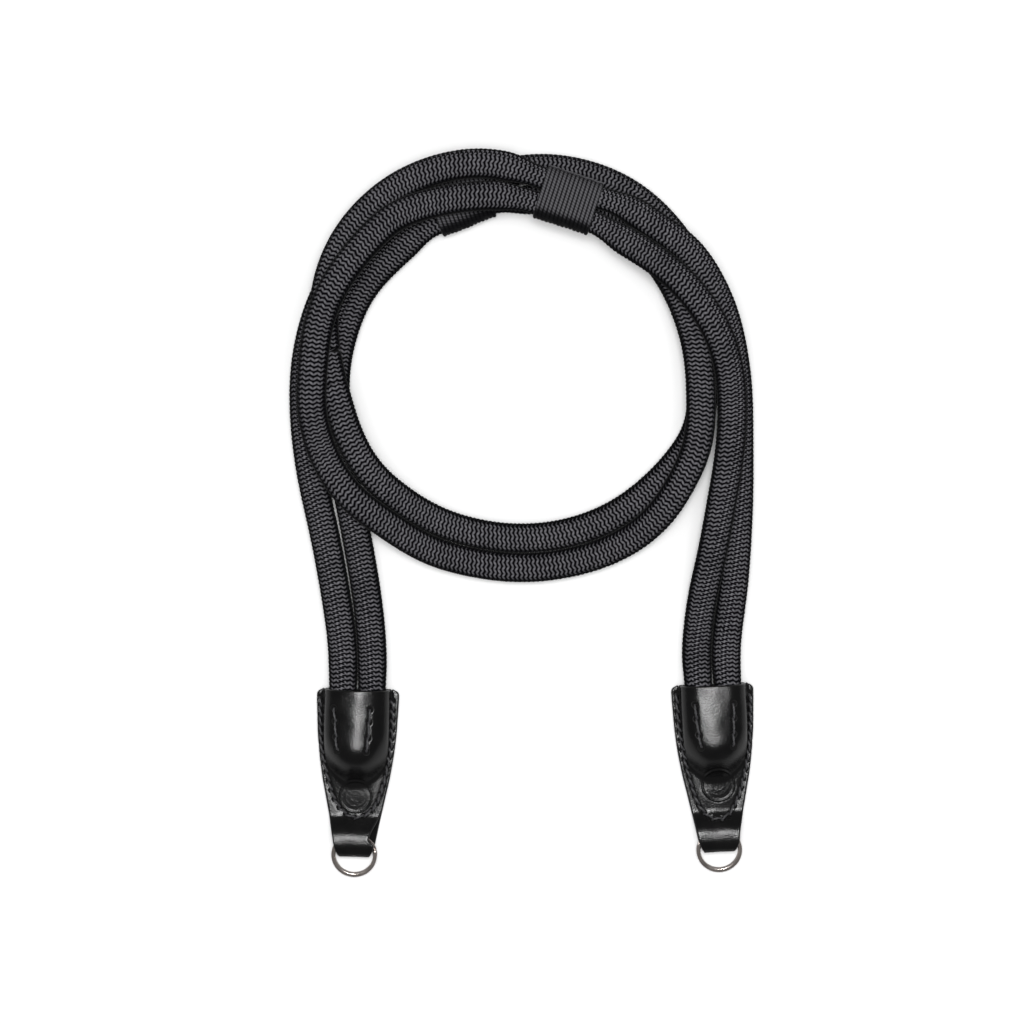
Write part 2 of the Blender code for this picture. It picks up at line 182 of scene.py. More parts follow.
def route_points(route, side):
    """The route's points and the straight runs inside both pockets, on side +1 or -1 of their middles."""
    across = side * ROPE_PITCH / 2
    start = [(across, share * ROPE_DEPTH, ROPE_IN_TAB_HEIGHT) for share in (1.0, 0.5, 0.0)]
    end = [(-across, share * ROPE_DEPTH, ROPE_IN_TAB_HEIGHT) for share in (0.0, 0.5, 1.0)]
    start, end = tab_to_world("left", np.array(start)), tab_to_world("right", np.array(end))
    return np.concatenate([start, np.array(route) / 1000, end])


def smooth_curve(points):
    """A natural cubic spline through the points, as a line: its (curve, distances along it)."""
    knots = run_lengths(points)
    span = np.diff(knots)
    size = len(knots)
    matrix = np.eye(size)
    known = np.zeros_like(points)
    slope = np.diff(points, axis=0) / span[:, None]
    for i in range(1, size - 1):
        matrix[i, i - 1 : i + 2] = (span[i - 1], 2 * (span[i - 1] + span[i]), span[i])
        known[i] = 6 * (slope[i] - slope[i - 1])
    bend = np.linalg.solve(matrix, known)
    at = np.linspace(0.0, knots[-1], CURVE_PLACES)
    i = np.clip(np.searchsorted(knots, at, side="right") - 1, 0, size - 2)
    after = (at - knots[i])[:, None]
    before = (knots[i + 1] - at)[:, None]
    width = span[i][:, None]
    curve = (bend[i] * before**3 + bend[i + 1] * after**3) / (6 * width)
    curve += (points[i] / width - bend[i] * width / 6) * before
    curve += (points[i + 1] / width - bend[i + 1] * width / 6) * after
    curve[:, 2] = np.maximum(curve[:, 2], ROPE_RADIUS)
    return curve, run_lengths(curve)


def nearest(line, point):
    """How far along a line the place nearest to this point lies."""
    curve, distance = line
    return distance[np.argmin(np.linalg.norm(curve - np.array(point), axis=1))]


def squeeze(line, at):
    """The rope's radius at these distances, as a share of its free radius: smaller inside each keeper."""
    share = np.ones(np.shape(at))
    for middle in KEEPERS.values():
        past = np.abs(at - nearest(line, middle)) - (KEEPER_LENGTH / 2 + SQUEEZE_PAST_KEEPER)
        freed = smooth_step(past, 0.0, SQUEEZE_EASE)
        share = np.minimum(share, KEEPER_SQUEEZE + (1 - KEEPER_SQUEEZE) * freed)
    return share


def frames_along(line, at):
    """The point, the sideways direction and the upward direction at these distances along a line."""
    ahead = unit(read_off(*line, at + HEADING_STEP) - read_off(*line, at - HEADING_STEP))
    up = unit(np.array([0.0, 0.0, 1.0]) - ahead * ahead[..., 2:3])
    return read_off(*line, at), np.cross(ahead, up), up


def neighbours(line, other):
    """Steps from places along a line to the nearest place of the other rope, and of its own other turns."""
    at = np.linspace(0.0, line[1][-1], NEIGHBOUR_PLACES)
    here = read_off(*line, at)
    other = other[0][::NEIGHBOUR_STRIDE]
    to_other = np.linalg.norm(here[:, None] - other[None], axis=2)
    to_self = np.linalg.norm(here[:, None] - here[None], axis=2)
    to_self[np.abs(at[:, None] - at[None]) < TURN_APART] = np.inf
    return at, (other[to_other.argmin(axis=1)] - here, here[to_self.argmin(axis=1)] - here)


def limited(radius, outwards, along, near):
    """The radius, cut off at the plane halfway to each neighbour."""
    at, steps = near
    for step in steps:
        towards = read_off(step, at, along)
        apart = np.linalg.norm(towards, axis=-1)
        facing = np.sum(outwards * towards, axis=-1) / apart
        radius = np.minimum(radius, (apart / 2 - TOUCHING_GAP) / np.maximum(facing, LEAST_FACING))
    return radius


# Pieces


def faces_out(mesh):
    """Whether a closed mesh's faces point outwards: its volume is then positive."""
    mesh.calc_loop_triangles()
    corners = np.zeros(len(mesh.loop_triangles) * 3, int)
    mesh.loop_triangles.foreach_get("vertices", corners)
    place = np.zeros(len(mesh.vertices) * 3)
    mesh.vertices.foreach_get("co", place)
    a, b, c = place.reshape(-1, 3)[corners.reshape(-1, 3)].transpose(1, 0, 2)
    return float(np.einsum("ij,ij->", a, np.cross(b, c))) > 0


def skin(name, points, faces):
    """A smoothly shaded object from the points and faces of a closed mesh, turned outwards."""
    mesh = bpy.data.meshes.new(name)
    mesh.from_pydata(points, [], faces)
    mesh.update()
    mesh.shade_smooth()
    if not faces_out(mesh):
        mesh.flip_normals()
    return linked(name, mesh)


def tube_faces(rows, sides, looped=False):
    """Faces of a tube with this many rings of points, closed at both ends or looped back to its start."""
    faces = []
    for r in range(rows if looped else rows - 1):
        below = (r + 1) % rows
        for k in range(sides):
            after = (k + 1) % sides
            faces.append((r * sides + k, r * sides + after, below * sides + after, below * sides + k))
    if not looped:
        faces.append(tuple(range(sides))[::-1])
        faces.append(tuple((rows - 1) * sides + k for k in range(sides)))
    return faces


def mark(piece, name, values):
    """Stores a value at each of the piece's points, for its material."""
    piece.data.attributes.new(name, "FLOAT", "POINT").data.foreach_set("value", values)


def dress(piece, body, slot, cad_node, *finishes):
    """Gives a piece its finishes and its body, and hides the node that it stands for. The slot is not used.
    """
    for finish in finishes:
        piece.data.materials.append(finish)
    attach(piece, body)
    if cad_node:
        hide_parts(cad_node)


# Braid: 24 columns of slanted floats round the rope, which alternately rise and fall. Neighbours' ends meet,
# so each row is a wave, except at a few columns that stand half a row away from the rest.

BRAID_COLUMNS = 24
BRAID_ROW = 0.00155
BRAID_DEPTH = 0.00050
OFFSET_COLUMNS = (12,)
# How high a row's four points stand: on the middle of a float, at a joined edge, at an offset column's edge
# and on the middle of an offset column's float
# These heights also set each point's painted shade and sheen
FLOAT_HEIGHT = np.array((1.0, 0.77, 0.0, 0.77))
JOINED_HEIGHT = np.array((0.84, 0.60, 0.0, 0.60))
OFFSET_EDGE_HEIGHT = np.array((0.45, 0.06, 0.92, 0.06))
WIDE_FLOAT_HEIGHT = np.array((0.0, 1.0, 1.20, 1.0))
# How far a float's end reaches past an offset column's edge, as a share of the column's width
FLOAT_OVERLAP = 0.22
# A float climbs this many rows from one edge of its column to the other
FLOAT_SLANT = 0.42
# An offset column's floats slant this much more at both ends, as a share of that climb
EXTRA_SLANT = 0.30
YARN_UNEVENNESS = 0.10
STRANDS = 24
# Floats lie flatter down the rope's sides, between these heights of the face's direction, where their colour
# is given painted shade
SIDE_FADE = (0.30, 0.76)
SIDE_PAINTED_SHADE = 0.36
SIDE_DEPTH = 0.55
# The rows lean by up to this slope where the rope bends and twists, in waves of this length and start, and
# not at the rope's ends
ROW_LEAN = -0.17
LEAN_WAVE = (0.047, 0.6)
LEAN_EASE = 0.02
# The braid turns round the rope by up to these angles, in waves of these lengths and starts
TWISTS = ((1.25, 0.25, -0.24), (0.12, 0.031, 1.0))
# Strips of the mesh to either side of the bottom whose rows are half as fine
COARSE_STRIPS = 9


def braid_vertices(line, rows, near, yarn_height):
    """The skin's points, a ring of them for each quarter of a row, their painted shades and their distances
    along.
    """
    length = line[1][-1]
    row = length / (rows + 1)
    ring = np.arange(4 * rows + 1)
    quarter = ring % 4
    along = np.zeros((len(ring), 2 * BRAID_COLUMNS))
    turn, height = np.zeros_like(along), np.zeros_like(along)
    for i in range(2 * BRAID_COLUMNS):
        column, in_middle = divmod(i, 2)
        rises = column % 2
        here, before = column in OFFSET_COLUMNS, (column - 1) % BRAID_COLUMNS in OFFSET_COLUMNS
        shift, climb = 0.0, 0.5 if in_middle else 1.0 - rises
        if in_middle:
            lift = (WIDE_FLOAT_HEIGHT if here else FLOAT_HEIGHT)[quarter]
        elif here or before:
            lift = OFFSET_EDGE_HEIGHT[quarter]
            outwards = np.where(quarter == 2, -1.0 if here else 1.0, 0.0)
            shift = FLOAT_OVERLAP * outwards
            climb = climb + EXTRA_SLANT * outwards
        else:
            lift = JOINED_HEIGHT[quarter]
        strand = (ring // 4 + (column // 2) * (-1 if rises else 1)) % STRANDS
        along[:, i] = (ring / 4 + FLOAT_SLANT * climb) * row
        turn[:, i] = 2 * np.pi * (i / 2 + shift) / BRAID_COLUMNS
        height[:, i] = lift * (1 + yarn_height[rises][strand] * in_middle)
    turn = turn - np.pi / 2 + sum(most * np.sin(along / over + start) for most, over, start in TWISTS)
    to_end = np.minimum(along, length - along)
    lean = ROW_LEAN * np.sin(along / LEAN_WAVE[0] + LEAN_WAVE[1]) * np.clip(to_end / LEAN_EASE, 0, 1)
    along = along + ROPE_RADIUS * lean * np.cos(turn)
    to_end = np.minimum(along, length - along)
    held = squeeze(line, along)
    free = (held - KEEPER_SQUEEZE) / (1 - KEEPER_SQUEEZE)
    free = free * np.clip((to_end - ROPE_DEPTH) / POCKET_EASE, 0, 1)
    radius = ROPE_RADIUS * held + (FREE_RADIUS - ROPE_RADIUS) * free
    tapered = np.clip(1 - to_end / ROPE_END_TAPER, 0, 1)
    place, side, up = frames_along(line, along)
    outwards = side * np.cos(turn)[..., None] + up * np.sin(turn)[..., None]
    on_top = smooth_step(outwards[..., 2], *SIDE_FADE)
    relief = BRAID_DEPTH * (SIDE_DEPTH + (1 - SIDE_DEPTH) * on_top)
    radius = radius * np.sqrt(1 - ROPE_END_NARROWING * tapered**2) - relief * (1 - height)
    points = place + limited(radius, outwards, along, near)[..., None] * outwards
    points[..., 2] = np.maximum(points[..., 2], 0.0)
    # The shade is painted light: dark in the grooves and down the sides, lighter on the crests as a painted
    # sheen
    return points, height * (SIDE_PAINTED_SHADE + (1 - SIDE_PAINTED_SHADE) * on_top), along


def braid_faces(rows, strips):
    """Corners of the skin's faces as (ring, strip) pairs. Rows near the rope's underside are half as fine."""
    faces = []
    for i in range(strips):
        after = i + 1
        rings = 2 if min(i, strips - 1 - i) < COARSE_STRIPS else 1
        for first in range(0, 4 * rows, rings):
            last = first + rings
            face = [(first, i), (first, after), (last, after), (last, i)]
            # The outermost coarse faces take in the point halfway along the finer rows beside them
            if i == COARSE_STRIPS - 1:
                face.insert(2, (first + 1, after))
            elif i == strips - COARSE_STRIPS:
                face.append((first + 1, i))
            faces.append(face)
    return faces


def braided_rope(name, line, other):
    """One braided rope along its line, beside the other rope's."""
    rows = round(line[1][-1] / BRAID_ROW) - 1
    yarn_height = chance.normal(0.0, YARN_UNEVENNESS, (2, STRANDS))
    points, shade, along = braid_vertices(line, rows, neighbours(line, other), yarn_height)
    rings, strips = shade.shape
    faces = [[ring * strips + strip % strips for ring, strip in face] for face in braid_faces(rows, strips)]
    cap, last_ring = rings * strips, (rings - 1) * strips
    faces += [[cap, (k + 1) % strips, k] for k in range(strips)]
    faces += [[cap + 1, last_ring + k, last_ring + (k + 1) % strips] for k in range(strips)]
    caps = read_off(*line, np.array((along[0].mean(), along[-1].mean())))
    points = np.concatenate([points.reshape(-1, 3), caps])
    used = np.zeros(len(points), bool)
    used[[corner for face in faces for corner in face]] = True
    number = np.cumsum(used) - 1
    rope = skin(name, points[used].tolist(), [number[face].tolist() for face in faces])
    # The stored values are painted shade and sheen for the braid's colour
    mark(rope, "crest_and_painted_shade", np.append(shade.ravel(), (0.0, 0.0))[used])
    return rope


# Materials


def surface(name, roughness, **sockets):
    """A node material and its Principled shader, with constant values on the shader's own sockets."""
    made = bpy.data.materials.new(name)
    made.use_nodes = True
    shader = made.node_tree.nodes["Principled BSDF"]
    shader.inputs["Roughness"].default_value = roughness
    for socket, value in sockets.items():
        shader.inputs[socket.replace("_", " ")].default_value = value
    return made, shader


def node(material, kind, links=None, **values):
    """A node of this kind. links joins inputs to other nodes' outputs, values sets properties or inputs."""
    tree = material.node_tree
    made = tree.nodes.new(kind)
    for key, value in values.items():
        if hasattr(made, key):
            setattr(made, key, value)
        else:
            made.inputs[key.replace("_", " ")].default_value = value
    for key, output in (links or {}).items():
        tree.links.new(output, made.inputs[key])
    return made


def ramp(material, source, stops):
    """A colour ramp over a value: stops are (place, colour or grey)."""
    made = node(material, "ShaderNodeValToRGB", {"Fac": source})
    elements = made.color_ramp.elements
    while len(elements) < len(stops):
        elements.new(0.5)
    for element, (place, color) in zip(elements, stops):
        element.position = place
        element.color = (*np.broadcast_to(color, 3), 1.0)
    return made.outputs["Color"]


def join(material, output, shader, socket):
    """Feeds a shader's socket."""
    material.node_tree.links.new(output, shader.inputs[socket])


def attribute(material, name):
    """The value that mark() stored on the piece."""
    return node(material, "ShaderNodeAttribute", attribute_name=name).outputs["Fac"]


def noise(material, size, detail, **values):
    """Procedural noise in the object's own coordinates, with features of about this size in metres."""
    place = node(material, "ShaderNodeTexCoord").outputs["Object"]
    return node(
        material, "ShaderNodeTexNoise", {"Vector": place}, Scale=1 / size, Detail=detail, **values
    ).outputs["Fac"]


def bumped(material, shader, height, distance, strength, under=None):
    """Bump from a height, over another bump if given."""
    links = {"Height": height}
    if under is not None:
        links["Normal"] = under
    bump = node(material, "ShaderNodeBump", links, Distance=distance, Strength=strength)
    join(material, bump.outputs["Normal"], shader, "Normal")
    return bump.outputs["Normal"]


def shade_painted_fabric(name, roughness, shades, **sockets):
    """Dull fabric whose colour is painted shade and sheen: black in its grooves and lighter up to its crests.
    """
    made, shader = surface(name, roughness, Sheen_Roughness=0.4, **sockets)
    join(made, ramp(made, attribute(made, "crest_and_painted_shade"), shades), shader, "Base Color")
    return made


def speckled(name, roughness, size, detail, shades, bump, **sockets):
    """A surface whose colour and bump of (distance, strength) follow one fine noise."""
    made, shader = surface(name, roughness, **sockets)
    fine = noise(made, size, detail)
    join(made, ramp(made, fine, shades), shader, "Base Color")
    bumped(made, shader, fine, *bump)
    return made


def leather_material():
    """Glossy black leather: fine grain breaks up the highlights, and patches and stitch holes are duller."""
    made, shader = surface("black_leather", 0.28, Specular_IOR_Level=0.5)
    patches = noise(made, 0.006, 4.0)
    color = ramp(made, patches, [(0.3, (0.0012, 0.0012, 0.0014)), (0.7, (0.0028, 0.0027, 0.0028))])
    join(made, color, shader, "Base Color")
    gloss = ramp(made, patches, [(0.3, 0.19), (0.75, 0.27)])
    dull = ramp(made, attribute(made, "inside_hole"), [(0.03, 0.0), (0.3, 0.95)])
    rough = node(made, "ShaderNodeMath", {0: gloss, 1: dull}, operation="MAXIMUM")
    join(made, rough.outputs[0], shader, "Roughness")
    under = bumped(made, shader, noise(made, 0.0005, 2.0, Roughness=0.5), 0.00008, 0.9)
    place = node(made, "ShaderNodeTexCoord").outputs["Object"]
    pores = node(made, "ShaderNodeTexVoronoi", {"Vector": place}, Scale=1 / 0.0007).outputs["Distance"]
    bumped(made, shader, pores, 0.000015, 0.7, under)
    return made


def steel_material():
    """Polished warm grey steel, drawn as wire."""
    made, shader = surface("steel", 0.22, Metallic=1.0)
    marks = noise(made, 0.004, 2.0)
    color = ramp(made, marks, [(0.3, (0.66, 0.59, 0.55)), (0.7, (0.78, 0.70, 0.66))])
    join(made, color, shader, "Base Color")
    join(made, ramp(made, marks, [(0.3, 0.20), (0.7, 0.27)]), shader, "Roughness")
    return made


# Painted shade and sheen of the ropes and the keepers: their colour from the painted shade in the grooves
# beside the floats up to the painted sheen on their crests
ROPE_PAINTED_SHADES = (
    (0.0, (0.0006, 0.0006, 0.0008)),
    (0.40, (0.002, 0.002, 0.003)),
    (0.62, (0.026, 0.026, 0.029)),
    (0.82, (0.096, 0.094, 0.102)),
    (1.0, (0.140, 0.137, 0.148)),
)
KEEPER_PAINTED_SHADES = (
    (0.0, (0.001, 0.001, 0.0013)),
    (0.4, (0.008, 0.008, 0.009)),
    (0.7, (0.060, 0.059, 0.064)),
    (1.0, (0.115, 0.113, 0.121)),
)

braid = shade_painted_fabric("braid", 0.7, ROPE_PAINTED_SHADES, Specular_IOR_Level=0.0, Sheen_Weight=0.04)
lines = [smooth_curve(route_points(INNER_ROUTE, 1)), smooth_curve(route_points(OUTER_ROUTE, -1))]
for cad_node, line, other in (("inner_rope", *lines), ("outer_rope", *lines[::-1])):
    rope = braided_rope("braided_" + cad_node, line, other)
    dress(rope, "strap", "rope", cad_node, braid)


# Keepers: ribbed webbing sewn round both ropes

KEEPER_RIBS = 14
KEEPER_DASHES = 50
KEEPER_RELIEF = 0.00034
KEEPER_AROUND = 200
KEEPER_ALONG = 7 * KEEPER_RIBS
# The band's length is shared out as if it bent at this radius
KEEPER_BEND = 0.0052
# Ribs are round, with narrow grooves. Each holds slanted floats, which start later on the next rib.
RIB_ROUNDNESS = 0.5
DASH_SHARE = 0.40
DASH_START = 0.37
DASH_SLANT = 0.75
# The band's ends roll in over this length, down to this wall
KEEPER_ROLL = 0.0009
KEEPER_EDGE = 0.0004
# Each rib wanders by this much, in this many waves round the band, which start later on the next rib
WANDER = 0.00008
WANDER_WAVES = 9
WANDER_START = 1.7
# The inner face lies this far inside the solid's bore
KEEPER_BITE = 0.0001
# The webbing's colour gets painted shade where it turns away from this direction
KEEPER_SIDE_PAINTED_SHADE = 0.30
KEEPER_SIDE_FADE = (0.52, 0.97)
KEEPER_LIT_FROM = np.array((0.0, 0.28, 0.96))
# The rolled edge along the outer rope: degrees down from the top, width and height. Its colour is also lit up
# as a painted highlight
KEEPER_HEM = 62.0
HEM_WIDTH = 0.00045
HEM_HEIGHT = 0.00050


def keeper_frames(middle, shares):
    """Both ropes' centres, the band's sideways and outward directions and the centres' distance."""
    centres, headings = [], []
    for line in lines:
        at = nearest(line, middle) + shares * KEEPER_LENGTH
        centres.append(read_off(*line, at))
        headings.append(read_off(*line, at + HEADING_STEP) - centres[-1])
    across = centres[1] - centres[0]
    apart = np.linalg.norm(across, axis=1)
    across /= apart[:, None]
    return centres, across, unit(np.cross(headings[0] + headings[1], across)), apart


def round_both(frames, radius, around):
    """Points of a stadium round both ropes at shares of its length, and how far each faces the light."""
    centres, across, normal, apart = frames
    arc = math.pi * KEEPER_BEND
    offset, angle = np.zeros_like(radius), np.zeros_like(radius)
    for row, flat in enumerate(apart):
        corners = np.cumsum([0.0, flat, arc, flat, arc])
        run = around * corners[-1]
        offset[row] = np.interp(run, corners, (0.0, flat, flat, 0.0, 0.0))
        angle[row] = np.radians(np.interp(run, corners, (90, 90, -90, -90, -270)))
    base = centres[0][:, None] + across[:, None] * offset[..., None]
    out = across[:, None] * np.cos(angle)[..., None] + normal[:, None] * np.sin(angle)[..., None]
    return base + out * radius[..., None], out @ KEEPER_LIT_FROM


def hem(apart, around):
    """1 along the band's rolled edge, fading to 0 beside it."""
    arc = math.pi * KEEPER_BEND
    run = around[None, :] * (2 * apart[:, None] + 2 * arc)
    return ridge(run - apart[:, None] - arc * KEEPER_HEM / 180, HEM_WIDTH)


def woven_keeper(name, middle):
    """A closed band: ribs of slanted yarn floats outside, a plain inner face, soft rolled ends."""
    shares = np.linspace(-0.5, 0.5, KEEPER_ALONG + 1)
    around = np.arange(KEEPER_AROUND) / KEEPER_AROUND
    ribs = (shares[:, None] + 0.5) * KEEPER_RIBS
    which = np.floor(ribs)
    phase = around[None, :] * KEEPER_DASHES + DASH_START * which + DASH_SLANT * (ribs - which - 0.5)
    dash = 0.5 + 0.5 * np.cos(2 * np.pi * phase)
    crest_and_painted_shade = np.abs(np.sin(np.pi * ribs)) ** RIB_ROUNDNESS * (1 - DASH_SHARE + DASH_SHARE * dash)
    ends = np.clip((0.5 - np.abs(shares[:, None])) * KEEPER_LENGTH / KEEPER_ROLL, 0, 1)
    wall = KEEPER_EDGE + (KEEPER_WALL - KEEPER_EDGE) * np.sqrt(1 - (1 - ends) ** 2)
    wander = WANDER * np.sin(around[None, :] * 2 * np.pi * WANDER_WAVES + which * WANDER_START)
    bore = ROPE_RADIUS * KEEPER_SQUEEZE + ROPE_CLEARANCE
    frames = keeper_frames(middle, shares)
    rolled = hem(frames[3], around)
    radius = bore + wall - KEEPER_RELIEF * (1 - crest_and_painted_shade) + wander + HEM_HEIGHT * rolled
    outer, lit = round_both(frames, radius, around)
    inner_shares = shares[[k * KEEPER_ALONG // 4 for k in range(5)]]
    inner_radius = np.full((len(inner_shares), KEEPER_AROUND), bore - KEEPER_BITE)
    inner, _ = round_both(keeper_frames(middle, inner_shares), inner_radius, around)
    rows = np.concatenate([outer, inner[::-1]])
    band = skin(name, rows.reshape(-1, 3).tolist(), tube_faces(len(rows), KEEPER_AROUND, looped=True))
    # Painted shade down the sides away from the light, and a painted highlight along the rolled edge
    on_top = KEEPER_SIDE_PAINTED_SHADE + (1 - KEEPER_SIDE_PAINTED_SHADE) * smooth_step(lit, *KEEPER_SIDE_FADE)
    shade = np.concatenate([np.maximum(crest_and_painted_shade * on_top, rolled), np.zeros(inner.shape[:2])])
    mark(band, "crest_and_painted_shade", shade.ravel())
    return band


# Tabs: one strip each, folded round the ring. Its rows run from the mouth over the upper leaf, round the
# fold and back along the lower leaf. A tab's own frame is (across, distance from the mouth, up).

TAB_LENGTH = 0.0596
TAB_HALF_WIDTH = 0.0147
NECK_HALF_WIDTH = 0.0063
LEAF = 0.00145
EDGE_ROUNDING = 0.0005
EDGE_ANGLES = (55, 20, -20, -55)
FLANGE_TOP = 2 * LEATHER
NECK_TOP = 0.00687
# The upper leaf's climb over the ring: distance from the mouth, share of the climb
NECK_RISE = np.array((
    (0.0445, 0.0), (0.0455, 0.05), (0.0470, 0.27), (0.0490, 0.62), (0.0505, 0.84), (0.0515, 0.935),
    (0.0525, 0.985), (0.0532, 1.0), (0.0546, 1.0),
))
# The fold is rounder above than below
FOLD_RADIUS = 0.0023
FOLD_TOP_LENGTH = 0.0050
FOLD_TOP_HEIGHT = 0.0032
MOUTH_CORNER = 0.0018
# Only what lies further out than this is drawn in round the mouth's corners
CORNER_START = 0.0118
POCKET_DEPTH = 0.0210
BULGE_FADE_START = 0.0196
BULGE_FADE_LENGTH = 0.0164
# The bulge's height falls with these powers of the share of its fade's length
BULGE_FADE = (2.5, 2.6)
BULGE_RADIUS = ROPE_RADIUS + LEAF
# The bulge's foot and the hollow above it: half width and height
BULGE_FOOT = ((0.0126, FLANGE_TOP), (0.0115, 0.0042))
BULGE_NARROWING = 0.2
# The bulge's top is crowned across, and its end is round seen from above
BULGE_CROWN = {"left": 0.00095, "right": 0.00030}
CROWN_HALF_WIDTH = 0.009
# It climbs a little from the mouth towards the ropes' ends
BULGE_CLIMB = 0.00055
BULGE_END_ROUNDING = 0.0060
BULGE_END_HALF_WIDTH = 0.0105
TAB_COLUMNS = 125
# Each section is worked out at this many places and then softened over this length
SECTION_PLACES = 400
SECTION_BLUR = 0.0004
# Rows beside the mouth, and further on: distance from the mouth, the upper leaf's rows there this far apart
MOUTH_ROWS = (0.0, 0.00006, 0.00018, 0.00035, 0.0006, 0.0009, 0.0013)
ROW_SPACING = np.array(((0.022, 0.0004), (0.030, 0.00021), (0.0475, 0.00021), (0.0505, 0.0004)))
# Rows round the fold's top, down its end, round its bottom and along the lower leaf
FOLD_ROWS = (15, 5, 9, 64)
LOWER_LEAF_START = 0.0017
# Rows of the strip on the back, past the fold
LOWER_LEAF_ROWS = 66
# The strip's widths and heights are softened over this many rows
WIDTH_BLUR = 2.0
HEIGHT_BLUR = 2.4

SWELL_HEIGHT = 0.0006
SWELL_ALONG = (0.020, 0.047)
SWELL_EASE = (0.008, 0.012)
SWELL_HALF_WIDTH = np.array(((0.020, 0.0125), (0.030, 0.0105), (0.040, 0.0075), (0.047, 0.004)))
# Slow swells of the leather: height, length across, length along. The long ones bend by this much, over
# this length.
UNEVEN_LONG = (0.00005, 0.0031, 0.0043)
UNEVEN_SHORT = (0.00003, 0.0013, 0.0017)
UNEVEN_BEND = (1.3, 0.0052)
UNEVEN_START = {"left": 0.7, "right": 2.1}

# Share of the length from the mouth, share from the neck's half width to the full one
TAB_OUTLINE = np.array((
    (0.000, 1.00), (0.060, 1.00), (0.270, 0.93), (0.390, 0.845), (0.535, 0.68), (0.660, 0.495),
    (0.770, 0.335), (0.870, 0.195), (0.945, 0.105), (0.966, 0.055), (0.978, 0.00), (0.990, -0.035),
    (1.000, -0.085),
))
# How far the upper leaf's edge lies inside the lower one's beside the neck: distance from the mouth, inset
NECK_INSET = {
    "left": np.array((
        (0.0430, 0.0), (0.0465, 0.0010), (0.0500, 0.0022), (0.0535, 0.0027), (0.0560, 0.0015), (0.0590, 0.0),
    )),
    "right": np.array(((0.0430, 0.0), (0.0520, 0.0003), (0.0590, 0.0))),
}
# Stitch lines round the flange, as (across, from the mouth) in mm, and the stitches along each
EDGE_SEAM = {
    "left": (
        (-13.5, 2.7), (-13.4, 9.0), (-13.1, 17.0), (-12.2, 23.8), (-10.3, 31.0), (-8.4, 37.6), (-6.2, 42.0),
        (-3.0, 45.2), (0.3, 46.1), (4.0, 45.0), (7.3, 41.8), (9.4, 35.8), (11.0, 29.0), (12.2, 22.0),
        (12.7, 15.0), (12.7, 8.5), (12.5, 3.6),
    ),
    "right": (
        (-13.0, 2.4), (-12.9, 8.5), (-12.7, 15.0), (-12.0, 21.0), (-10.9, 27.0), (-9.4, 33.0), (-8.1, 38.8),
        (-6.2, 44.2), (-3.0, 47.4), (0.2, 48.4), (3.4, 47.4), (6.4, 43.4), (8.9, 37.0), (10.8, 30.0),
        (12.3, 23.5), (13.1, 16.0), (13.4, 9.5), (13.5, 3.6),
    ),
}
EDGE_STITCHES = {"left": 29, "right": 30}
# Stitch lines between the ropes' tops, the same way, through every hole
POCKET_SEAMS = {
    "left": (
        ((-8.0, 5.9), (-7.4, 10.6), (-7.0, 16.2), (-6.5, 21.0)),
        ((5.1, 6.1), (4.8, 10.6), (4.6, 16.2), (4.0, 21.2)),
    ),
    "right": (
        ((-7.1, 5.9), (-6.8, 11.0), (-6.2, 16.7), (-5.6, 21.4)),
        ((6.7, 6.1), (6.5, 11.2), (6.2, 16.9), (5.9, 21.4)),
    ),
}
# Places worked out along a seam, and how many of them it is softened over
SEAM_PLACES = 1200
SEAM_BLUR = 28.0
# Places of a seam that its channel follows: round the flange and on the pocket
CHANNEL_PLACES = (400, 60)
CHANNEL_WIDTH = 0.0008
# The same two on the upper leaf: the channel's depth, and its holes' radius and depth
EDGE_RELIEF = (0.00016, 0.00095, 0.00085)
POCKET_RELIEF = (0.00012, 0.00110, 0.00110)
# The same on the back, for both
BACK_RELIEF = (0.00055, 0.0009, 0.0010)
HOLE_ROUNDNESS = 1.2
# The dull insides of the holes reach out to these radii
EDGE_INSIDE = 0.0010
POCKET_INSIDE = 0.0014

ROUNDEL_MIDDLE = {"left": (0.0001, 0.0380), "right": (0.0006, 0.0356)}
ROUNDEL_RADIUS = 0.0056
# It lies in a dish of this depth, with an edge this wide
ROUNDEL_DISH = 0.00007
ROUNDEL_EDGE = 0.0006
# Its rings: radius, height and width
ROUNDEL_RINGS = (
    (ROUNDEL_RADIUS + 0.00055, -0.00007, 0.00035),
    (ROUNDEL_RADIUS, 0.00022, 0.00028),
    (0.66 * ROUNDEL_RADIUS, 0.00003, 0.00022),
    (0.36 * ROUNDEL_RADIUS, 0.00003, 0.00022),
)


def eased(share):
    """A smooth step from 0 to 1 with level ends."""
    share = np.clip(share, 0.0, 1.0)
    return share**3 * (10 - 15 * share + 6 * share**2)


def smoothed(values, width):
    """Values blurred along their first axis by this many samples, with the ends held."""
    reach = int(3 * width)
    kernel = ridge(np.arange(-reach, reach + 1), width * math.sqrt(2))
    kernel /= kernel.sum()
    before = 2 * values[:1] - values[reach:0:-1]
    after = 2 * values[-1:] - values[-2 : -reach - 2 : -1]
    padded = np.concatenate([before, values, after])
    return sum(weight * padded[k : k + len(values)] for k, weight in enumerate(kernel))


